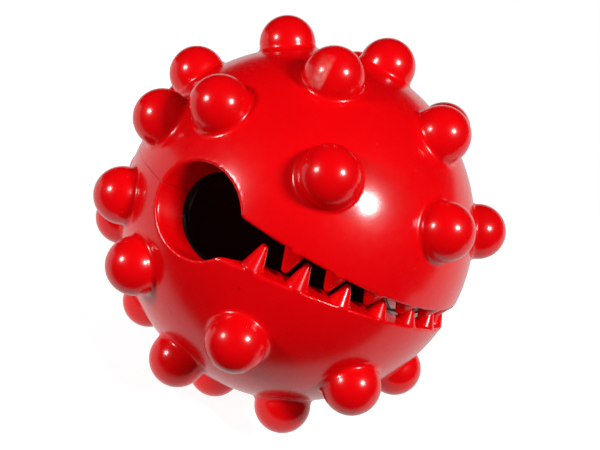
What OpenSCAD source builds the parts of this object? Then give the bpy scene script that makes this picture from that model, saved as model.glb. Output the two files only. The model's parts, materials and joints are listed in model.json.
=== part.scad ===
// Treat dispensing ball: a hollow rubber ball with rounded nubs all over, a toothed
// mouth slot across its front and a round treat hole at each end of the mouth.
// It is moulded in two halves that are bonded at the seam plane, and each half is
// lined with a thin black cup.
// The origin is the ball's centre. +Z is square to the seam plane, +X points out of
// the middle of the mouth, and azimuths are counted from +X towards +Y.

/* [Ball] */
// Diameter of the ball's body, without the nubs
body_d = 86; // [78:1:100]
// Thickness of the red rubber wall
wall = 6.5; // [5.5:0.5:8]
// Thickness of the black inner liner
liner_t = 2; // [1:0.25:3]

/* [Nubs] */
// Diameter of a nub's round dome
nub_d = 13.5; // [11:0.5:15]
// How far the dome's centre stands outside the ball's surface
nub_rise = 1; // [0:0.25:2]
// How far the skirt's foot spreads past the dome
nub_flare = 1.3; // [0.5:0.1:2]
// Nubs in the ring on each side of the mouth
ring_count = 8; // [6:1:9]
// Latitude of that ring above or below the seam plane, in degrees
ring_lat = 27.5; // [25:0.5:32]
// Azimuth of the ring's first nub, in degrees
ring_phase = 1.5; // [0:0.5:20]
// Nubs in the crown ring round each pole
crown_count = 5; // [4:1:6]
// Latitude of the crown ring, in degrees
crown_lat = 57.5; // [54:0.5:60]
// Azimuth of the crown ring's first nub, in degrees
crown_phase = 5; // [0:1:30]
// Nubs on each side of the closed seam
seam_nub_count = 4; // [2:1:4]
// Latitude of those nubs, in degrees
seam_nub_lat = 13.3; // [12.5:0.1:14]
// Azimuth step between those nubs, in degrees
seam_nub_step = 48; // [40:1:50]

/* [Mouth] */
// Half of the mouth's sweep, from its middle to where a treat hole's axis leaves the ball
mouth_half = 74.5; // [70:0.5:76]
// Height of the upper lip above the seam plane, at the middle of the mouth
lip_up = 3.05; // [2.8:0.05:3.6]
// Radius of the upper lip's arch, which rises towards the treat holes
upper_arch_r = 500; // [400:20:800]
// Depth of the lower lip below the seam plane, at the middle of the mouth
lip_down = 1.65; // [1.5:0.05:2.2]
// Radius of the lower lip's arch, which drops towards the treat holes
lower_arch_r = 200; // [180:10:300]

/* [Treat holes] */
// Diameter of a treat hole
hole_d = 20.2; // [18.8:0.2:20.8]
// Azimuth that a treat hole's axis points to, so that it runs in a little from behind
hole_azimuth = 100; // [94:1:104]
// Height of the treat holes' axes over the seam plane
hole_level = -0.2; // [-0.6:0.1:0.6]

/* [Teeth] */
// Teeth on the upper lip, where it is long enough for them
upper_teeth = 7; // [1:2:7]
// Teeth on the lower lip, which stand between the upper ones
lower_teeth = 8; // [2:2:8]
// Azimuth step between the teeth of one lip, in degrees
tooth_step = 14.1; // [13.8:0.1:14.4]
// How far each row is turned away from the other, in degrees
row_turn = 0.8; // [0:0.1:1]
// Diameter of a tooth at its foot
tooth_d = 5; // [4.2:0.1:5.2]
// Diameter of a tooth's rounded tip
tooth_tip_d = 1.8; // [1:0.1:2.2]
// Height of a tooth from lip to tip, where the mouth is open wide enough
tooth_h = 5.6; // [5:0.1:5.8]
// Least clearance from a tooth's tip to the other lip
tooth_gap = 1.2; // [1:0.1:1.6]
// How far the tooth's axis stands inside the ball's surface
tooth_inset = 2.6; // [2.6:0.1:3.2]

/* [Hidden] */

// Overrun of a cut past the surface that it opens
over = 1;
// Sides of a full circle in the preview mesh
$fn = 96;

body_r = body_d / 2;
lining_r = body_r - wall;
cavity_r = lining_r - liner_t;

// Nub: the skirt starts under the ball's surface and ends inside the dome
nub_r = nub_d / 2;
nub_centre_r = body_r + nub_rise;
nub_foot_r = nub_r + nub_flare;
nub_foot_depth = body_r - sqrt(body_r * body_r - nub_foot_r * nub_foot_r);
// Depth of the foot below the surface's edge there, so that none of it shows
nub_root = 0.4;
nub_skirt_top = nub_rise + nub_flare / 3;
nub_skirt_r = sqrt(nub_r * nub_r - pow(nub_skirt_top - nub_rise, 2)) - nub_root / 3;
nub_skirt_h = nub_foot_depth + nub_root + nub_skirt_top;

// Treat hole: how far its axis passes in front of the ball's centre
hole_r = hole_d / 2;
hole_offset = body_r * sin(hole_azimuth - mouth_half);

// Mouth: the slot ends at the treat holes' axes, half-way through the wall
mouth_back_x = hole_offset * sin(hole_azimuth)
    + sqrt(pow(body_r - wall / 2, 2) - pow(hole_offset, 2)) * cos(hole_azimuth);
lip_rise = body_r * body_r / upper_arch_r;
lip_drop = body_r * body_r / lower_arch_r;
outer_r = nub_centre_r + nub_r;

// Tooth: the foot narrows again under the lip, so that it stays inside the wall
tooth_r = tooth_d / 2;
tooth_tip_r = tooth_tip_d / 2;
tooth_ring_r = body_r - tooth_inset;
tooth_root_h = 1.2;
tooth_root_r = tooth_r - tooth_root_h / 2;
// Azimuth where a treat hole's front edge crosses the tooth ring, so that the lips end there
lip_end = hole_azimuth - asin((hole_offset + hole_r) / tooth_ring_r);
// Furthest azimuth of a tooth whose foot stands on the lip all round
last_tooth = lip_end - asin(tooth_r / tooth_ring_r);

red = [0.90, 0.02, 0.05];
black = [0.05, 0.045, 0.05];

// Azimuth and latitude of every nub on one half, with side 1 above and -1 below
function nub_places(side) = concat(
    [[0, side * 90]],
    [for (k = [0 : crown_count - 1]) [crown_phase + k * 360 / crown_count, side * crown_lat]],
    [for (k = [0 : ring_count - 1]) [ring_phase + k * 360 / ring_count, side * ring_lat]],
    [for (k = [0 : seam_nub_count - 1])
        [180 + (k - (seam_nub_count - 1) / 2) * seam_nub_step, side * seam_nub_lat]]
);

// Azimuth of each tooth of a row, which is centred on the middle of the mouth but for its turn.
// A row loses its end teeth where a shorter mouth or a wider hole leaves no lip for them.
function tooth_places(count, turn) = [
    for (k = [0 : count - 1])
        let (azimuth = turn + (k - (count - 1) / 2) * tooth_step)
            if (abs(azimuth) < last_tooth) azimuth
];

// How far a lip's arch has left its middle height where the tooth ring passes that azimuth
function arch_z(arch_r, azimuth) =
    arch_r - sqrt(pow(arch_r, 2) - pow(tooth_ring_r * sin(azimuth), 2));

function upper_lip_z(azimuth) = lip_up + arch_z(upper_arch_r, azimuth);

function lower_lip_z(azimuth) = -lip_down - arch_z(lower_arch_r, azimuth);

// Height of the tooth at that azimuth: the full one, but less where the lips are closer
function tooth_height(azimuth) =
    min(tooth_h, upper_lip_z(azimuth) - lower_lip_z(azimuth) - tooth_gap);

// One nub on the +Z axis: a round dome on a short spreading skirt
module nub() {
    translate([0, 0, nub_centre_r])
        sphere(r = nub_r);
    translate([0, 0, body_r - nub_foot_depth - nub_root])
        cylinder(h = nub_skirt_h, r1 = nub_foot_r, r2 = nub_skirt_r);
}

module nubs(side) {
    for (place = nub_places(side))
        rotate([0, 90 - place[1], place[0]])
            nub();
}

// One tooth on the +Z axis, with its foot at height zero and its root below
module tooth(height) {
    tip_h = height - tooth_tip_r;
    cylinder(h = tip_h, r1 = tooth_r, r2 = tooth_tip_r);
    translate([0, 0, tip_h])
        sphere(r = tooth_tip_r);
    translate([0, 0, -tooth_root_h])
        cylinder(h = tooth_root_h, r1 = tooth_root_r, r2 = tooth_r);
}

module upper_tooth_row() {
    for (azimuth = tooth_places(upper_teeth, row_turn))
        rotate([0, 0, azimuth])
            translate([tooth_ring_r, 0, upper_lip_z(azimuth)])
                mirror([0, 0, 1])
                    tooth(tooth_height(azimuth));
}

module lower_tooth_row() {
    for (azimuth = tooth_places(lower_teeth, -row_turn))
        rotate([0, 0, azimuth])
            translate([tooth_ring_r, 0, lower_lip_z(azimuth)])
                tooth(tooth_height(azimuth));
}

// The mouth slot, between the arches of its two lips
module mouth_cut() {
    reach = outer_r + over;
    bottom = -lip_down - lip_drop;
    difference() {
        translate([mouth_back_x, -reach, bottom])
            cube([reach - mouth_back_x, 2 * reach, lip_up + lip_rise - bottom]);
        translate([mouth_back_x - over, 0, lip_up + upper_arch_r])
            rotate([0, 90, 0])
                cylinder(h = reach, r = upper_arch_r);
        translate([mouth_back_x - over, 0, -lip_down - lower_arch_r])
            rotate([0, 90, 0])
                cylinder(h = reach, r = lower_arch_r);
    }
}

module treat_hole_cuts() {
    translate([0, 0, hole_level])
        for (side = [-1, 1])
            rotate([0, 90, side * hole_azimuth])
                translate([0, -side * hole_offset, 0])
                    cylinder(h = body_r + over, r = hole_r);
}

// Everything on the far side of the seam plane from one half
module other_side(side) {
    reach = outer_r + over;
    translate([-reach, -reach, side > 0 ? -2 * reach : 0])
        cube(2 * reach);
}

module shell_half(side) {
    difference() {
        union() {
            sphere(r = body_r);
            nubs(side);
        }
        sphere(r = lining_r);
        other_side(side);
        mouth_cut();
        treat_hole_cuts();
    }
}

module liner_half(side) {
    difference() {
        sphere(r = lining_r);
        sphere(r = cavity_r);
        other_side(side);
        mouth_cut();
        treat_hole_cuts();
    }
}

module upper_shell() {
    color(red) {
        shell_half(1);
        upper_tooth_row();
    }
}

module lower_shell() {
    color(red) {
        shell_half(-1);
        lower_tooth_row();
    }
}

module upper_liner() {
    color(black)
        liner_half(1);
}

module lower_liner() {
    color(black)
        liner_half(-1);
}

upper_shell();
lower_shell();
upper_liner();
lower_liner();
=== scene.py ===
"""Looks of the treat dispensing ball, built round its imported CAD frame.

The ball is moulded from glossy red rubber in two halves, each lined with a thin black
cup. Geometry Nodes measure the distance to the moulded shape and draw the mesh on it.
"""

import json
import math

import bpy
from mathutils import Matrix, Vector


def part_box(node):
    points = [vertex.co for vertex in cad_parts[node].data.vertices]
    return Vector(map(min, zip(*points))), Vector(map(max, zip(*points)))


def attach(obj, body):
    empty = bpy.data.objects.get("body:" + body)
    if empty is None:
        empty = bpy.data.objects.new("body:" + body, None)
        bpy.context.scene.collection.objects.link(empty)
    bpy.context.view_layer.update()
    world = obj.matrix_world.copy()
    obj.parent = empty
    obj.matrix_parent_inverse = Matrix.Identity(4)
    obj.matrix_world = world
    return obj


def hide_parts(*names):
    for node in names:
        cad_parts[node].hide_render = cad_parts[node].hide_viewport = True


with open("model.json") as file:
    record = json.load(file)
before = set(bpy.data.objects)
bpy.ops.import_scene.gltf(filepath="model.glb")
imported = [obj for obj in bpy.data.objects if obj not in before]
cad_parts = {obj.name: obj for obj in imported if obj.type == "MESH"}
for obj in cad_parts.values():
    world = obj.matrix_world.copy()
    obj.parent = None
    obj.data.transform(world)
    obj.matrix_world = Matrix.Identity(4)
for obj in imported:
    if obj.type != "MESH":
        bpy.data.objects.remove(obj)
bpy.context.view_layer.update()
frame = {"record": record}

MM = 0.001
DEG = math.radians(1)
ORIGIN = (0.0, 0.0, 0.0)

MATH = "ShaderNodeMath"
VECTOR = "ShaderNodeVectorMath"
XYZ = "ShaderNodeCombineXYZ"
SPLIT = "ShaderNodeSeparateXYZ"
RANGE = "ShaderNodeMapRange"
GROUP = "GeometryNodeGroup"
MOVE = "GeometryNodeSetPosition"
HERE = "GeometryNodeInputPosition"
SHADING = "GeometryNodeSetShadeSmooth"
BOOLEAN = "GeometryNodeMeshBoolean"
NOISE = "ShaderNodeTexNoise"
MIX = "ShaderNodeMix"

# Sizes of the ball, as in the CAD model. The fillets, soft edges and rims are added to it here
OUTER_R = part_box("upper_shell")[1].z
FLOOR_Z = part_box("lower_shell")[0].z
BALL_R = 43 * MM
WALL = 6.5 * MM
LINING_R = -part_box("upper_liner")[0].x
LINER_T = 2 * MM
CAVITY_R = LINING_R - LINER_T
LINER_EDGE = 0.3 * MM

NUB_R = 6.75 * MM
NUB_CENTRE_R = OUTER_R - NUB_R
NUB_FILLET = 1.1 * MM
# Nubs of each ring: how many, azimuth of the first, step and latitude, in degrees
NUB_RINGS = {
    "Pole": (1, 0, 360, 90),
    "Crown": (5, 5, 72, 57.5),
    "Mouth ring": (8, 1.5, 45, 27.5),
    "Seam row": (4, 108, 48, 13.3),
}

HOLE = next(m for m in frame["record"]["mounts"] if m["name"] == "treat_hole_right")
HOLE_AXIS = tuple(HOLE["axis"])
HOLE_AT = HOLE["pos_m"]
HOLE_R = HOLE["dims"]["r_mm"] * MM
HOLE_OFFSET = HOLE_AT[0] * HOLE_AXIS[1] - HOLE_AT[1] * HOLE_AXIS[0]
RIM_R = 0.5 * MM
# The slot ends at the holes' axes, half-way through the wall
SLOT_BACK_X = HOLE_OFFSET * HOLE_AXIS[1]
SLOT_BACK_X += math.sqrt((BALL_R - WALL / 2) ** 2 - HOLE_OFFSET**2) * HOLE_AXIS[0]
LIP_EDGE = 0.2 * MM
# A lip keeps its own corner up to the first distance from a treat hole, and has the plain edge
# past the second
LIP_TURN = (1 * MM, 6 * MM)

TOOTH_STEP = 14.1 * DEG
TOOTH_INSET = 2.6 * MM
TOOTH_RING_R = BALL_R - TOOTH_INSET
TOOTH_R = 2.5 * MM
TOOTH_TIP_R = 0.9 * MM
TOOTH_H = 5.6 * MM
TOOTH_GAP = 1.2 * MM
# The teeth lean towards the ball's middle, so that the lamps draw a streak down each
TOOTH_LEAN = 8 * DEG
TOOTH_FILLET = 0.2 * MM

# What differs between the halves. Each is drawn as an upper half, and side -1 turns it over
UPPER = {
    "Side": 1.0,
    "Hole level": HOLE_AT[2],
    "Lip height": 3.05 * MM,
    "Lip curvature": 1 / (500 * MM),
    "Lip corner": LIP_EDGE,
    "Teeth": 7,
    "Row turn": 0.8 * DEG,
}
LOWER = {
    "Side": -1.0,
    "Hole level": -HOLE_AT[2],
    "Lip height": 1.65 * MM,
    "Lip curvature": 1 / (200 * MM),
    "Lip corner": 5 * LIP_EDGE,
    "Teeth": 8,
    "Row turn": -0.8 * DEG,
}
MOUTH_H = UPPER["Lip height"] + LOWER["Lip height"]
MOUTH_CURVATURE = UPPER["Lip curvature"] + LOWER["Lip curvature"]

# Grid steps of the meshes, and how often their points are moved onto the shape
BODY_GRID = 0.54 * MM
TOOTH_GRID = 0.24 * MM
LINER_GRID = 0.8 * MM
SNAPS = 3
# Sides of the sphere that cuts the hollow out, round it and from pole to pole
HOLLOW_SIDES = (128, 64)
# How far a body runs past the seam plane before it is cut there
OVERRUN = 1.5 * MM
# How far the blend round a tooth's foot starts under the lip's surface
SUNK = 0.03 * MM
# Corners of the space that the upper row of teeth, or the lower one turned over, lies in
TEETH_LOW = (18 * MM, -40 * MM, -3 * MM)
TEETH_HIGH = (46 * MM, 40 * MM, 6 * MM)
# Points this near to the seam plane or the lining lie on it, and a cut edge there bends this much
ON_SEAM = 0.02 * MM
ON_LINING = 0.05 * MM
SHARP_ANGLE = 35 * DEG


def linear(hex_colour):
    """An sRGB hex colour as linear RGBA."""
    channels = [int(hex_colour[i : i + 2], 16) / 255 for i in (1, 3, 5)]
    return (*(c / 12.92 if c <= 0.04045 else ((c + 0.055) / 1.055) ** 2.4 for c in channels), 1.0)


def add(tree, kind, *values, named=None, **settings):
    """Adds a node with its settings, and fills its open inputs in order, then the named ones."""
    node = tree.nodes.new(kind)
    for name, value in settings.items():
        setattr(node, name, value)
    pairs = list(zip([s for s in node.inputs if s.enabled], values))
    pairs += [(node.inputs[name], value) for name, value in (named or {}).items()]
    for socket, value in pairs:
        for one in value if isinstance(value, list) else [value]:
            if isinstance(one, bpy.types.Node):
                one = next(s for s in one.outputs if s.enabled)
            if isinstance(one, bpy.types.NodeSocket):
                tree.links.new(one, socket)
            elif one is not None:
                socket.default_value = one
    return node


def new_tree(name, inputs, outputs):
    """A node tree with these named inputs and values, and its input node's outputs by name."""
    kinds = {float: "Float", int: "Int", tuple: "Vector"}
    tree = bpy.data.node_groups.new(name, "GeometryNodeTree")
    for way, sockets in (("INPUT", inputs), ("OUTPUT", outputs)):
        for label, value in sockets.items():
            kind = kinds.get(type(value), value)
            socket = tree.interface.new_socket(label, in_out=way, socket_type="NodeSocket" + kind)
            if value is not kind:
                socket.default_value = value
    return tree, add(tree, "NodeGroupInput").outputs


# The ball's shape, as distances: below zero inside the rubber, above zero outside


def rounded_meeting():
    """Where two distances meet, the space inside both, with its edge rounded."""
    sizes = {"First": 0.0, "Second": 0.0, "Radius": 0.0}
    tree, given = new_tree("Rounded meeting", sizes, {"Distance": 0.0})
    parts = []
    for name in ("First", "Second"):
        raised = add(tree, MATH, given[name], given["Radius"], operation="ADD")
        parts.append(add(tree, MATH, raised, 0.0, operation="MAXIMUM"))
    corner = add(tree, VECTOR, add(tree, XYZ, *parts), operation="LENGTH")
    larger = add(tree, MATH, given["First"], given["Second"], operation="MAXIMUM")
    inside = add(tree, MATH, given["Radius"], -1.0, operation="MULTIPLY")
    inside = add(tree, MATH, larger, inside, operation="MINIMUM")
    add(tree, "NodeGroupOutput", add(tree, MATH, corner, inside, operation="ADD"))
    return tree


def rounded_joint(meeting):
    """Two shapes as one, with a fillet between them."""
    sizes = {"First": 0.0, "Second": 0.0, "Radius": 0.0}
    tree, given = new_tree("Rounded joint", sizes, {"Distance": 0.0})
    turned = [add(tree, MATH, given[n], -1.0, operation="MULTIPLY") for n in ("First", "Second")]
    met = add(tree, GROUP, *turned, given["Radius"], node_tree=meeting)
    add(tree, "NodeGroupOutput", add(tree, MATH, met, -1.0, operation="MULTIPLY"))
    return tree


def nearest_in_ring():
    """Turns a place about the ball's axis, so that a ring's nearest item comes to azimuth zero."""
    sizes = {"Place": ORIGIN, "First azimuth": 0.0, "Step": 1.0, "Count": 1}
    tree, given = new_tree("Nearest in ring", sizes, {"Turned place": ORIGIN, "Azimuth": 0.0})
    place = add(tree, SPLIT, given["Place"])
    azimuth = add(tree, MATH, place.outputs["Y"], place.outputs["X"], operation="ARCTAN2")
    last = add(tree, MATH, given["Count"], 1.0, operation="SUBTRACT")
    sweep = add(tree, MATH, last, given["Step"], operation="MULTIPLY")
    half = add(tree, MATH, sweep, 2.0, operation="DIVIDE")
    middle = add(tree, MATH, given["First azimuth"], half, operation="ADD")
    offset = add(tree, MATH, azimuth, middle, operation="SUBTRACT")
    offset = add(tree, MATH, offset, math.pi, -math.pi, operation="WRAP")
    from_first = add(tree, MATH, offset, half, operation="ADD")
    steps = add(tree, MATH, from_first, given["Step"], operation="DIVIDE")
    index = add(tree, MATH, steps, operation="ROUND")
    index = add(tree, "ShaderNodeClamp", index, 0.0, last)
    own = add(tree, MATH, index, given["Step"], given["First azimuth"], operation="MULTIPLY_ADD")
    back = add(tree, MATH, own, -1.0, operation="MULTIPLY")
    turning = {"Vector": given["Place"], "Angle": back}
    turned = add(tree, "ShaderNodeVectorRotate", rotation_type="Z_AXIS", named=turning)
    add(tree, "NodeGroupOutput", turned, own)
    return tree


def nub_ring(nearest):
    """Distance to the nearest round dome of one ring of nubs."""
    sizes = {"Place": ORIGIN, "First azimuth": 0.0, "Step": 1.0, "Count": 1, "Latitude": 0.0}
    sizes |= {"Centre distance": NUB_CENTRE_R, "Dome radius": NUB_R}
    tree, given = new_tree("Nub ring", sizes, {"Distance": 0.0})
    ring = (given["First azimuth"], given["Step"], given["Count"])
    turned = add(tree, GROUP, given["Place"], *ring, node_tree=nearest)
    level = add(tree, MATH, given["Latitude"], operation="COSINE")
    height = add(tree, MATH, given["Latitude"], operation="SINE")
    towards = add(tree, XYZ, level, 0.0, height)
    far_out = {"Scale": given["Centre distance"]}
    centre = add(tree, VECTOR, towards, named=far_out, operation="SCALE")
    reach = add(tree, VECTOR, turned, centre, operation="DISTANCE")
    add(tree, "NodeGroupOutput", add(tree, MATH, reach, given["Dome radius"], operation="SUBTRACT"))
    return tree


def mouth_openings():
    """Distances to the mouth slot of one half and to the treat holes at its ends."""
    sizes = {"Place": ORIGIN, "Hole level": 0.0, "Lip height": 0.0, "Lip curvature": 0.0}
    sizes |= {"Slot back": SLOT_BACK_X, "Hole axis": HOLE_AXIS, "Hole radius": HOLE_R}
    sizes |= {"Hole place": (*HOLE_AT[:2], 0.0)}
    tree, given = new_tree("Mouth openings", sizes, {"Slot": 0.0, "Hole": 0.0})
    place = add(tree, SPLIT, given["Place"])
    bend = add(tree, MATH, given["Lip curvature"], 0.5, operation="MULTIPLY")
    square = add(tree, MATH, place.outputs["Y"], place.outputs["Y"], operation="MULTIPLY")
    lip = add(tree, MATH, square, bend, given["Lip height"], operation="MULTIPLY_ADD")
    over_lip = add(tree, MATH, place.outputs["Z"], lip, operation="SUBTRACT")
    behind = add(tree, MATH, given["Slot back"], place.outputs["X"], operation="SUBTRACT")
    slot = add(tree, MATH, over_lip, behind, operation="MAXIMUM")
    side = add(tree, MATH, place.outputs["Y"], operation="ABSOLUTE")
    over_axis = add(tree, MATH, place.outputs["Z"], given["Hole level"], operation="SUBTRACT")
    folded = add(tree, XYZ, place.outputs["X"], side, over_axis)
    from_hole = add(tree, VECTOR, folded, given["Hole place"], operation="SUBTRACT")
    along = add(tree, VECTOR, from_hole, given["Hole axis"], operation="DOT_PRODUCT")
    foot = add(tree, VECTOR, given["Hole axis"], named={"Scale": along}, operation="SCALE")
    reach = add(tree, VECTOR, from_hole, foot, operation="DISTANCE")
    bore = add(tree, MATH, reach, given["Hole radius"], operation="SUBTRACT")
    inner_end = add(tree, VECTOR, folded, given["Hole axis"], operation="DOT_PRODUCT")
    inner_end = add(tree, MATH, inner_end, -1.0, operation="MULTIPLY")
    add(tree, "NodeGroupOutput", slot, add(tree, MATH, bore, inner_end, operation="MAXIMUM"))
    return tree


def tooth_row(nearest):
    """Distance to the nearest tooth: a cone with a round tip, narrowing again under the lip, and
    lower where the mouth is less open."""
    sizes = {"Place": ORIGIN, "Teeth": 1, "Row turn": 0.0, "Lip height": 0.0, "Lip curvature": 0.0}
    sizes |= {"Step": TOOTH_STEP, "Ring radius": TOOTH_RING_R, "Foot radius": TOOTH_R}
    sizes |= {"Tip radius": TOOTH_TIP_R, "Full height": TOOTH_H, "Tip clearance": TOOTH_GAP}
    sizes |= {"Mouth height": MOUTH_H, "Mouth curvature": MOUTH_CURVATURE, "Lean": TOOTH_LEAN}
    tree, given = new_tree("Tooth row", sizes, {"Distance": 0.0})
    last = add(tree, MATH, given["Teeth"], 1.0, operation="SUBTRACT")
    half_step = add(tree, MATH, given["Step"], -0.5, operation="MULTIPLY")
    first = add(tree, MATH, last, half_step, given["Row turn"], operation="MULTIPLY_ADD")
    row = (first, given["Step"], given["Teeth"])
    found = add(tree, GROUP, given["Place"], *row, node_tree=nearest)
    place = add(tree, SPLIT, found.outputs["Turned place"])
    sine = add(tree, MATH, found.outputs["Azimuth"], operation="SINE")
    side = add(tree, MATH, given["Ring radius"], sine, operation="MULTIPLY")
    rise = add(tree, MATH, side, side, operation="MULTIPLY")
    rise = add(tree, MATH, rise, 0.5, operation="MULTIPLY")
    arch = (given["Lip curvature"], given["Lip height"])
    lip = add(tree, MATH, rise, *arch, operation="MULTIPLY_ADD")
    opening = (given["Mouth curvature"], given["Mouth height"])
    tall = add(tree, MATH, rise, *opening, operation="MULTIPLY_ADD")
    tall = add(tree, MATH, tall, given["Tip clearance"], operation="SUBTRACT")
    tall = add(tree, MATH, tall, given["Full height"], operation="MINIMUM")
    # The cone's side tapers so that it runs on smoothly into the rounded tip
    tip_at = add(tree, MATH, tall, given["Tip radius"], operation="SUBTRACT")
    far = add(tree, VECTOR, add(tree, XYZ, given["Foot radius"], tip_at), operation="LENGTH")
    taper = add(tree, MATH, given["Tip radius"], far, operation="DIVIDE")
    taper = add(tree, MATH, taper, operation="ARCCOSINE")
    steepness = add(tree, MATH, tip_at, given["Foot radius"], operation="ARCTAN2")
    taper = add(tree, MATH, taper, steepness, operation="SUBTRACT")
    height = add(tree, MATH, lip, place.outputs["Z"], operation="SUBTRACT")
    inward = add(tree, MATH, place.outputs["X"], given["Ring radius"], operation="SUBTRACT")
    leaning = add(tree, MATH, given["Lean"], operation="TANGENT")
    inward = add(tree, MATH, height, leaning, inward, operation="MULTIPLY_ADD")
    height = add(tree, MATH, height, operation="ABSOLUTE")
    reach = add(tree, VECTOR, add(tree, XYZ, inward, place.outputs["Y"]), operation="LENGTH")
    cosine = add(tree, MATH, taper, operation="COSINE")
    slope = add(tree, MATH, taper, operation="SINE")
    # The cone's side, and past its end the ball of the tip
    leaned = add(tree, MATH, height, slope, operation="MULTIPLY")
    leaned = add(tree, MATH, reach, cosine, leaned, operation="MULTIPLY_ADD")
    wide = add(tree, MATH, given["Foot radius"], cosine, operation="MULTIPLY")
    flank = add(tree, MATH, leaned, wide, operation="SUBTRACT")
    past = add(tree, MATH, height, tip_at, operation="SUBTRACT")
    tip = add(tree, VECTOR, add(tree, XYZ, reach, past), operation="LENGTH")
    tip = add(tree, MATH, tip, given["Tip radius"], operation="SUBTRACT")
    climbed = add(tree, MATH, past, cosine, operation="MULTIPLY")
    drawn_in = add(tree, MATH, reach, slope, operation="MULTIPLY")
    at_tip = add(tree, MATH, climbed, drawn_in, operation="GREATER_THAN")
    tooth = add(tree, "GeometryNodeSwitch", at_tip, flank, tip, input_type="FLOAT")
    add(tree, "NodeGroupOutput", tooth)
    return tree


MEETING = rounded_meeting()
JOINT = rounded_joint(MEETING)
NEAREST = nearest_in_ring()
NUB_RING = nub_ring(NEAREST)
OPENINGS = mouth_openings()
TOOTH_ROW = tooth_row(NEAREST)


def drawn_mesh(tree, distance, low, high, step):
    """A mesh drawn where the distance is zero, with its points moved onto that place exactly. The
    density is a half there, and falls from one to zero over a band of three steps on each side."""
    band = 3 * step
    counts = [math.ceil((b - a) / step) + 1 for a, b in zip(low, high)]
    high = tuple(a + (n - 1) * step for a, n in zip(low, counts))
    density = add(tree, RANGE, distance, -band, band, 1.0, 0.0)
    volume = add(tree, "GeometryNodeVolumeCube", density, 0.0, low, high, *counts)
    middle = {"Threshold": 0.5}
    mesh = add(tree, "GeometryNodeVolumeToMesh", volume, named=middle, resolution_mode="GRID")
    inward = add(tree, MATH, distance, -1.0, operation="MULTIPLY")
    normal = add(tree, "GeometryNodeInputNormal")
    shift = add(tree, VECTOR, normal, named={"Scale": inward}, operation="SCALE")
    for _ in range(SNAPS):
        mesh = add(tree, MOVE, mesh, named={"Offset": shift})
    return mesh


def drawn_half(tree, distance, edge, step):
    """The upper half of a shape that ends inside the edge, with an overrun past the seam plane."""
    place = add(tree, SPLIT, add(tree, HERE))
    below_seam = add(tree, MATH, place.outputs["Z"], -1.0, operation="MULTIPLY")
    below_seam = add(tree, MATH, below_seam, OVERRUN, operation="SUBTRACT")
    half = add(tree, MATH, distance, below_seam, operation="MAXIMUM")
    return drawn_mesh(tree, half, (-edge, -edge, -OVERRUN - 2 * step), (edge, edge, edge), step)


def past_seam(tree, edge):
    """A block that takes up everything past the seam plane."""
    block = add(tree, "GeometryNodeMeshCube", (4 * edge, 4 * edge, edge))
    return add(tree, "GeometryNodeTransform", block, named={"Translation": (0.0, 0.0, -edge / 2)})


def finished(tree, mesh, side, material):
    """The mesh on its own side of the seam plane, smooth but for its cut edges, in its material."""
    place = add(tree, SPLIT, add(tree, HERE))
    height = add(tree, MATH, place.outputs["Z"], side, operation="MULTIPLY")
    moved = add(tree, XYZ, place.outputs["X"], place.outputs["Y"], height)
    mesh = add(tree, MOVE, mesh, named={"Position": moved})
    lower = add(tree, MATH, side, 0.0, operation="LESS_THAN")
    mesh = add(tree, "GeometryNodeFlipFaces", mesh, lower)
    mesh = add(tree, SHADING, mesh, domain="FACE", named={"Shade Smooth": True})
    # Only the edges of the seam plane and of the lining are sharp
    reach = add(tree, VECTOR, add(tree, HERE), operation="LENGTH")
    on_lining = add(tree, MATH, reach, LINING_R, ON_LINING, operation="COMPARE")
    on_seam = add(tree, MATH, height, 0.0, ON_SEAM, operation="COMPARE")
    near = add(tree, MATH, on_lining, on_seam, operation="MAXIMUM")
    bent = add(tree, "GeometryNodeInputMeshEdgeAngle")
    bent = add(tree, MATH, bent.outputs["Unsigned Angle"], SHARP_ANGLE, operation="GREATER_THAN")
    sharp = add(tree, MATH, near, bent, operation="MULTIPLY")
    creases = {"Selection": sharp, "Shade Smooth": False}
    mesh = add(tree, SHADING, mesh, domain="EDGE", named=creases)
    mesh = add(tree, "GeometryNodeSetMaterial", mesh, named={"Material": material})
    add(tree, "NodeGroupOutput", add(tree, "GeometryNodeRealizeInstances", mesh))


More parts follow.
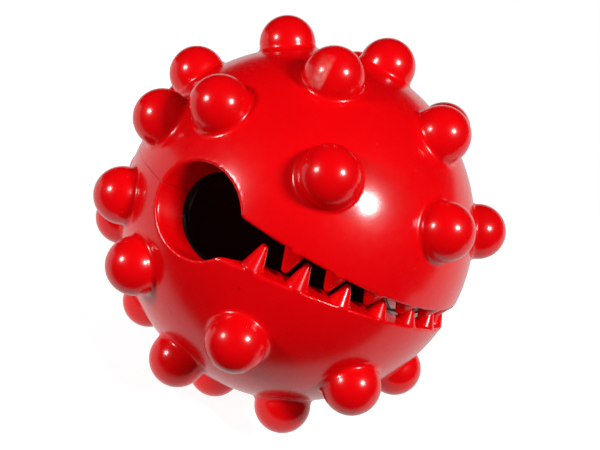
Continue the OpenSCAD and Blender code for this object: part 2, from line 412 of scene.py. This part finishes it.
def rubber_half():
    """One red half: the wall with its nubs, cut by the mouth and the treat holes, and its teeth."""
    sizes = {"Side": 1.0, "Lip height": 0.0, "Lip curvature": 0.0, "Lip corner": 0.0, "Teeth": 1}
    sizes |= {"Ball radius": BALL_R, "Lining radius": LINING_R, "Nub fillet": NUB_FILLET}
    sizes |= {"Rim radius": RIM_R, "Lip edge": LIP_EDGE, "Tooth fillet": TOOTH_FILLET}
    sizes |= {"Row turn": 0.0, "Hole level": 0.0, "Finish": "Material"}
    tree, given = new_tree("Rubber half", sizes, {"Mesh": "Geometry"})
    here = add(tree, HERE)
    reach = add(tree, VECTOR, here, operation="LENGTH")
    ball = add(tree, MATH, reach, given["Ball radius"], operation="SUBTRACT")
    nubs = None
    for count, first, step, latitude in NUB_RINGS.values():
        places = (first * DEG, step * DEG, count, latitude * DEG)
        ring = add(tree, GROUP, here, *places, node_tree=NUB_RING)
        nubs = add(tree, MATH, nubs, ring, operation="MINIMUM") if nubs else ring
    solid = add(tree, GROUP, ball, nubs, given["Nub fillet"], node_tree=JOINT)

    lip = (given["Lip height"], given["Lip curvature"])
    openings = add(tree, GROUP, here, given["Hole level"], *lip, node_tree=OPENINGS)
    hole, slot = openings.outputs["Hole"], openings.outputs["Slot"]
    clear_hole = add(tree, MATH, hole, -1.0, operation="MULTIPLY")
    clear_slot = add(tree, MATH, slot, -1.0, operation="MULTIPLY")
    body = add(tree, GROUP, solid, clear_hole, given["Rim radius"], node_tree=MEETING)
    # The lip's edge is softest where it turns into a treat hole
    soft = (given["Lip corner"], given["Lip edge"])
    softness = add(tree, RANGE, hole, *LIP_TURN, *soft, interpolation_type="SMOOTHSTEP")
    body = add(tree, GROUP, body, clear_slot, softness, node_tree=MEETING)
    edge = OUTER_R + 2 * BODY_GRID
    mesh = drawn_half(tree, body, edge, BODY_GRID)

    # The hollow and everything past the seam plane are cut out exactly
    hollow = add(tree, "GeometryNodeMeshUVSphere", *HOLLOW_SIDES, given["Lining radius"])
    cutters = [hollow, past_seam(tree, edge)]
    mesh = add(tree, BOOLEAN, mesh, cutters, operation="DIFFERENCE", solver="MANIFOLD")

    # The teeth are drawn on a finer grid, each with a fillet that rises out of the lip. The wall
    # beside a tooth is left out of it past one and a half times the fillet
    row = add(tree, GROUP, here, given["Teeth"], given["Row turn"], *lip, node_tree=TOOTH_ROW)
    sunk = add(tree, MATH, body, SUNK, operation="ADD")
    tooth = add(tree, GROUP, sunk, row, given["Tooth fillet"], node_tree=JOINT)
    margin = add(tree, MATH, given["Tooth fillet"], 1.5, operation="MULTIPLY")
    beside = add(tree, MATH, row, margin, operation="SUBTRACT")
    tooth = add(tree, MATH, tooth, beside, operation="MAXIMUM")
    teeth = drawn_mesh(tree, tooth, TEETH_LOW, TEETH_HIGH, TOOTH_GRID)
    joined = {"Mesh 2": [mesh, teeth]}
    mesh = add(tree, BOOLEAN, named=joined, operation="UNION", solver="MANIFOLD")
    finished(tree, mesh, given["Side"], given["Finish"])
    return tree


def liner_half():
    """One black cup, cut by the same mouth and treat holes as its red half."""
    sizes = {"Side": 1.0, "Lip height": 0.0, "Lip curvature": 0.0, "Lining radius": LINING_R}
    sizes |= {"Hole level": 0.0, "Liner thickness": LINER_T, "Edge": LINER_EDGE}
    sizes |= {"Finish": "Material"}
    tree, given = new_tree("Liner half", sizes, {"Mesh": "Geometry"})
    here = add(tree, HERE)
    reach = add(tree, VECTOR, here, operation="LENGTH")
    outside = add(tree, MATH, reach, given["Lining radius"], operation="SUBTRACT")
    inside = add(tree, MATH, given["Lining radius"], given["Liner thickness"], operation="SUBTRACT")
    inside = add(tree, MATH, inside, reach, operation="SUBTRACT")
    wall = add(tree, MATH, outside, inside, operation="MAXIMUM")
    lip = (given["Lip height"], given["Lip curvature"])
    openings = add(tree, GROUP, here, given["Hole level"], *lip, node_tree=OPENINGS)
    cut = add(tree, MATH, openings.outputs["Slot"], openings.outputs["Hole"], operation="MINIMUM")
    clear = add(tree, MATH, cut, -1.0, operation="MULTIPLY")
    cup = add(tree, GROUP, wall, clear, given["Edge"], node_tree=MEETING)
    edge = LINING_R + 2 * LINER_GRID
    mesh = drawn_half(tree, cup, edge, LINER_GRID)
    cutters = [past_seam(tree, edge)]
    mesh = add(tree, BOOLEAN, mesh, cutters, operation="DIFFERENCE", solver="MANIFOLD")
    finished(tree, mesh, given["Side"], given["Finish"])
    return tree


def piece_from(tree, name, sizes):
    """A plain mesh object made by a tree with these sizes."""
    maker = bpy.data.objects.new("maker", bpy.data.meshes.new("maker"))
    bpy.context.scene.collection.objects.link(maker)
    modifier = maker.modifiers.new(tree.name, "NODES")
    modifier.node_group = tree
    for item in tree.interface.items_tree:
        if item.in_out == "INPUT" and item.name in sizes:
            modifier[item.identifier] = sizes[item.name]
    depsgraph = bpy.context.evaluated_depsgraph_get()
    mesh = bpy.data.meshes.new_from_object(
        maker.evaluated_get(depsgraph), preserve_all_data_layers=True, depsgraph=depsgraph
    )
    bpy.data.objects.remove(maker)
    mesh.name = name
    piece = bpy.data.objects.new(name, mesh)
    bpy.context.scene.collection.objects.link(piece)
    return piece


# The photograph's camera, solved from the ball's outline and nubs
CAMERA_AT = Vector((0.16407, -0.16284, 0.04997))
RIGHT = Vector((0.540879, 0.689569, 0.481607))
UP = Vector((-0.477886, -0.219248, 0.850621))
BACK = Vector((0.692153, -0.690235, 0.210949))
FOCAL_PX = 956.2
FRAME_PX = 600

# The last nub of the crown ring has a scar on its side, shown with a painted reflection
# that slants in the camera's view
_, CROWN_FIRST, CROWN_STEP, CROWN_LATITUDE = NUB_RINGS["Crown"]
SCAR_SHEEN_NUB = Vector((NUB_CENTRE_R, 0, 0))
SCAR_SHEEN_NUB.rotate(Matrix.Rotation(-CROWN_LATITUDE * DEG, 3, "Y"))
SCAR_SHEEN_NUB.rotate(Matrix.Rotation((CROWN_FIRST - CROWN_STEP) * DEG, 3, "Z"))
SCAR_SHEEN_SLANT = 27.46 * DEG
ALONG_SCAR_SHEEN = UP * math.cos(SCAR_SHEEN_SLANT) + RIGHT * math.sin(SCAR_SHEEN_SLANT)
ACROSS_SCAR_SHEEN = RIGHT * math.cos(SCAR_SHEEN_SLANT) - UP * math.sin(SCAR_SHEEN_SLANT)


def moulded_red_rubber():
    """Natural rubber from a polished mould: saturated and glossy, with soft-edged highlights, a
    faint unevenness where it shrank, fine scuffs, and a hairline where the halves meet."""
    material = bpy.data.materials.new("Moulded red rubber")
    material.use_nodes = True
    tree = material.node_tree
    tree.nodes.clear()
    place = add(tree, "ShaderNodeTexCoord").outputs["Object"]
    xyz = add(tree, SPLIT, place).outputs

    # The pigment drifts slowly, over about 14 mm
    drift = add(tree, NOISE, named={"Vector": place, "Scale": 1 / (14 * MM), "Detail": 3.0})
    colour = add(tree, MIX, drift, linear("#F40007"), linear("#E80007"), data_type="RGBA")
    # Hairline at the closed seam, about 0.2 mm wide
    off_seam = add(tree, MATH, xyz["Z"], operation="ABSOLUTE")
    hairline = add(tree, RANGE, off_seam, 0.0, 0.2 * MM, 1.0, 0.0, interpolation_type="SMOOTHSTEP")
    closed = add(tree, RANGE, xyz["X"], SLOT_BACK_X - 1 * MM, SLOT_BACK_X, 1.0, 0.0)
    hairline = add(tree, MATH, hairline, closed, operation="MULTIPLY")
    shade = add(tree, MATH, hairline, 0.45, operation="MULTIPLY")
    colour = add(tree, MIX, shade, colour, linear("#8E0009"), data_type="RGBA")
    # Dust and nicks, 0.15 to 0.3 mm across and several millimetres apart
    cells = add(tree, "ShaderNodeTexVoronoi", named={"Vector": place, "Scale": 1 / (2.6 * MM)})
    speck = add(tree, RANGE, cells.outputs["Distance"], 0.03, 0.06, 1.0, 0.0)
    rarely = add(tree, SPLIT, cells.outputs["Color"])
    rarely = add(tree, MATH, rarely, 0.86, operation="GREATER_THAN")
    speck = add(tree, MATH, speck, rarely, operation="MULTIPLY")
    dusty = add(tree, MATH, speck, 0.35, operation="MULTIPLY")
    colour = add(tree, MIX, dusty, colour, linear("#F06A62"), data_type="RGBA")

    # A scar where flash was trimmed off one nub, shown as a painted reflection: a pale band,
    # palest at the nub's foot, on the side towards the camera
    from_nub = add(tree, VECTOR, place, tuple(SCAR_SHEEN_NUB), operation="SUBTRACT")
    torn = add(tree, NOISE, named={"Vector": place, "Scale": 1 / (0.9 * MM), "Detail": 3.0})
    scar_sheen = add(tree, RANGE, torn, 0.35, 0.65, 0.3, 0.85)
    # Each way over it, with where it fades in or out, and its share before and past that
    for way, start, end, before, past in (
        (ACROSS_SCAR_SHEEN, -4.6 * MM, -2.6 * MM, 0.0, 1.0),
        (ACROSS_SCAR_SHEEN, -1.6 * MM, -0.9 * MM, 1.0, 0.0),
        (ALONG_SCAR_SHEEN, -4.8 * MM, -3.8 * MM, 0.0, 1.0),
        (ALONG_SCAR_SHEEN, -3.8 * MM, 3.2 * MM, 1.0, 0.0),
        (BACK, 1 * MM, 3 * MM, 0.0, 1.0),
    ):
        reach = add(tree, VECTOR, from_nub, tuple(way), operation="DOT_PRODUCT")
        share = add(tree, RANGE, reach, start, end, before, past)
        scar_sheen = add(tree, MATH, scar_sheen, share, operation="MULTIPLY")
    colour = add(tree, MIX, scar_sheen, colour, linear("#F49A90"), data_type="RGBA")

    # Scuffs: thin streaks about 0.3 mm wide and 6 mm long, in worn patches
    stretch = {"Rotation": (0.5, 0.9, 0.3), "Scale": (1.0, 1.0, 0.05)}
    stretched = add(tree, "ShaderNodeMapping", place, named=stretch)
    streaks = add(tree, NOISE, named={"Vector": stretched, "Scale": 1 / (0.35 * MM), "Detail": 2.0})
    streaks = add(tree, RANGE, streaks, 0.62, 0.75, 0.0, 1.0)
    patches = add(tree, NOISE, named={"Vector": place, "Scale": 1 / (9 * MM), "Detail": 2.0})
    patches = add(tree, RANGE, patches, 0.5, 0.7, 0.0, 1.0)
    scuffs = add(tree, MATH, streaks, patches, operation="MULTIPLY")
    grain = add(tree, NOISE, named={"Vector": place, "Scale": 1 / (2.5 * MM), "Detail": 4.0})
    roughness = add(tree, RANGE, grain, 0.3, 0.7, 0.24, 0.3)
    roughness = add(tree, MATH, scuffs, 0.12, roughness, operation="MULTIPLY_ADD")

    # Relief in millimetres: shrinkage waves, the mould's fine grain, scuffs, specks and hairline
    waves = add(tree, NOISE, named={"Vector": place, "Scale": 1 / (7 * MM), "Detail": 1.0})
    fine = add(tree, NOISE, named={"Vector": place, "Scale": 1 / (0.45 * MM), "Detail": 2.0})
    heights = ((waves, 0.06), (fine, 0.0032), (scuffs, -0.003), (speck, 0.01), (hairline, -0.05))
    height = 0.0
    for pattern, most in heights:
        height = add(tree, MATH, pattern, most, height, operation="MULTIPLY_ADD")
    relief = add(tree, "ShaderNodeBump", named={"Strength": 1.0, "Distance": MM, "Height": height})
    # The polished skin mirrors the studio, and the rubber under it glows softly round each light
    looks = {"Base Color": colour, "Roughness": roughness, "IOR": 1.52, "Normal": relief}
    looks |= {"Specular IOR Level": 0.15}
    looks |= {"Coat Weight": 0.55, "Coat Roughness": 0.15, "Coat Normal": relief}
    surface = add(tree, "ShaderNodeBsdfPrincipled", named=looks)
    add(tree, "ShaderNodeOutputMaterial", surface)
    return material


def moulded_black_rubber():
    """Carbon-filled rubber with an eggshell surface: nearly black where it is cut, and a dull dark
    red on its inner face, which is painted light standing for red light bounced inside the ball."""
    material = bpy.data.materials.new("Moulded black rubber")
    material.use_nodes = True
    tree = material.node_tree
    tree.nodes.clear()
    place = add(tree, "ShaderNodeTexCoord").outputs["Object"]
    # Painted light: the inner face is a dull dark red, for red light bounced inside the ball
    drift = add(tree, NOISE, named={"Vector": place, "Scale": 1 / (10 * MM), "Detail": 3.0})
    colour = add(tree, MIX, drift, linear("#74262B"), linear("#802C32"), data_type="RGBA")
    reach = add(tree, VECTOR, place, operation="LENGTH")
    in_wall = add(tree, RANGE, reach, CAVITY_R + 0.05 * MM, CAVITY_R + 0.3 * MM)
    colour = add(tree, MIX, in_wall, colour, linear("#0E0607"), data_type="RGBA")
    grain = add(tree, NOISE, named={"Vector": place, "Scale": 1 / (0.5 * MM), "Detail": 3.0})
    roughness = add(tree, RANGE, grain, 0.3, 0.7, 0.38, 0.52)
    relief = {"Strength": 1.0, "Distance": 0.012 * MM, "Height": grain}
    relief = add(tree, "ShaderNodeBump", named=relief)
    looks = {"Base Color": colour, "Roughness": roughness, "IOR": 1.5, "Normal": relief}
    surface = add(tree, "ShaderNodeBsdfPrincipled", named=looks)
    add(tree, "ShaderNodeOutputMaterial", surface)
    return material


RED = moulded_red_rubber()
BLACK = moulded_black_rubber()
RUBBER_HALF = rubber_half()
LINER_HALF = liner_half()

for half, sizes in (("upper", UPPER), ("lower", LOWER)):
    for part, tree, finish, slot in (
        ("shell", RUBBER_HALF, RED, "red_rubber"),
        ("liner", LINER_HALF, BLACK, "black_rubber"),
    ):
        piece = piece_from(tree, f"{half}_{part}_moulding", {**sizes, "Finish": finish})
        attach(piece, "root")
        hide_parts(f"{half}_{part}")

camera = bpy.data.objects.new("camera", bpy.data.cameras.new("camera"))
bpy.context.scene.collection.objects.link(camera)
turn = Matrix((RIGHT, UP, BACK)).transposed()
camera.matrix_world = Matrix.Translation(CAMERA_AT) @ turn.to_4x4()
camera.data.lens = camera.data.sensor_width * FOCAL_PX / FRAME_PX
camera.data.clip_start = 10 * MM
bpy.context.scene.camera = camera


def seen_from_camera(right, up, back):
    """A direction given along the camera's own axes."""
    return (RIGHT * right + UP * up + BACK * back).normalized()


# Two round softboxes in front of the ball and one behind it, which the ball doesn't mirror, with
# their directions, their radii in metres and their powers in watts. They all face the ball
LAMP_FROM_BALL = 0.6
for name, towards, radius, power in (
    ("left_softbox", seen_from_camera(-0.68, 0.35, 0.645), 0.068, 1.85),
    ("right_softbox", seen_from_camera(0.665, 0.19, 0.722), 0.068, 2.75),
    ("rear_softbox", seen_from_camera(0.1, 0.35, -0.93), 0.2, 0.9),
):
    lamp = bpy.data.lights.new(name, "AREA")
    lamp.shape = "DISK"
    lamp.size = 2 * radius
    lamp.energy = power
    light = bpy.data.objects.new(name, lamp)
    light.visible_glossy = name != "rear_softbox"
    light.location = towards * LAMP_FROM_BALL
    light.rotation_euler = towards.to_track_quat("Z", "Y").to_euler()
    bpy.context.scene.collection.objects.link(light)

# How bright the ball finds the backdrop, and the dark room, which it doesn't mirror
BACKDROP = 0.7
ROOM = 0.1
# The backdrop stands behind the ball and sweeps forwards under it. Along that way, the dark room
# ends at the first share of a ray's length, and the full backdrop starts at the second
BACKDROP_WAY = -BACK - 0.6 * UP
BACKDROP_EDGE = (0.36, 0.5)
# The same on the floor, but straight backwards from the ball's middle
FLOOR_EDGE = (-30 * MM, -20 * MM)
FLOOR_HALF = 1.5
# The floor's glow to the camera is painted darker by this share round the ball, a painted
# shade that fades out between these distances
PAINTED_SHADE_SHARE = 0.1
PAINTED_SHADE_FADE = (90 * MM, 260 * MM)


def studio_light(tree, place, backwards, dark, white):
    """Strength of the studio's walls, white to the camera. The ball is lit by, and mirrors, a
    backdrop from the distance called white backwards on, and a dark room in front of the one
    called dark."""
    rays = add(tree, "ShaderNodeLightPath").outputs
    behind = add(tree, VECTOR, place, tuple(backwards), operation="DOT_PRODUCT")
    room = add(tree, MIX, rays["Is Glossy Ray"], ROOM, 0.0, data_type="FLOAT")
    level = add(tree, RANGE, behind, dark, white, room, BACKDROP, interpolation_type="SMOOTHSTEP")
    seen = add(tree, MATH, rays["Is Camera Ray"], rays["Is Transmission Ray"], operation="MAXIMUM")
    return add(tree, MIX, seen, level, 1.0, data_type="FLOAT"), seen


world = bpy.data.worlds.new("studio")
world.use_nodes = True
world.node_tree.nodes.clear()
direction = add(world.node_tree, "ShaderNodeTexCoord").outputs["Generated"]
strength, _ = studio_light(world.node_tree, direction, BACKDROP_WAY, *BACKDROP_EDGE)
background = add(world.node_tree, "ShaderNodeBackground", (1.0, 1.0, 1.0, 1.0), strength)
add(world.node_tree, "ShaderNodeOutputWorld", background)
bpy.context.scene.world = world
# Each ray asks the walls for its own strength, so they aren't sampled as lamps
world.cycles.sampling_method = "NONE"

# Pale floor under the lowest nub, whose matt paper shows the ball's faint shadow to the camera,
# while its glow to the camera is painted darker round the ball. The ball sees only its glow
paper = bpy.data.materials.new("White studio paper")
paper.use_nodes = True
paper.cycles.emission_sampling = "NONE"
tree = paper.node_tree
tree.nodes.clear()
spot = add(tree, "ShaderNodeNewGeometry").outputs["Position"]
strength, seen = studio_light(tree, spot, -BACK, *FLOOR_EDGE)
far = add(tree, VECTOR, spot, operation="LENGTH")
# Painted shade: the glow to the camera is darker round the ball and fades with distance
painted_shade = add(tree, RANGE, far, *PAINTED_SHADE_FADE, -PAINTED_SHADE_SHARE, 0.0, interpolation_type="SMOOTHSTEP")
kept = add(tree, MATH, seen, painted_shade, strength, operation="MULTIPLY_ADD")
glow = add(tree, "ShaderNodeEmission", (1.0, 1.0, 1.0, 1.0), kept)
fibre = add(tree, NOISE, named={"Scale": 1 / (1.5 * MM), "Detail": 4.0})
tone = add(tree, MIX, fibre, linear("#A0A0A0"), linear("#AAAAAA"), data_type="RGBA")
tone = add(tree, MIX, seen, linear("#000000"), tone, data_type="RGBA")
matt = add(tree, "ShaderNodeBsdfDiffuse", tone)
add(tree, "ShaderNodeOutputMaterial", add(tree, "ShaderNodeAddShader", glow, matt))
floor_mesh = bpy.data.meshes.new("floor")
signs = ((-1, -1), (1, -1), (1, 1), (-1, 1))
corners = [(x * FLOOR_HALF, y * FLOOR_HALF, FLOOR_Z) for x, y in signs]
floor_mesh.from_pydata(corners, [], [(0, 1, 2, 3)])
floor_mesh.materials.append(paper)
floor = bpy.data.objects.new("floor", floor_mesh)
bpy.context.scene.collection.objects.link(floor)

bpy.context.scene.view_settings.view_transform = "Standard"
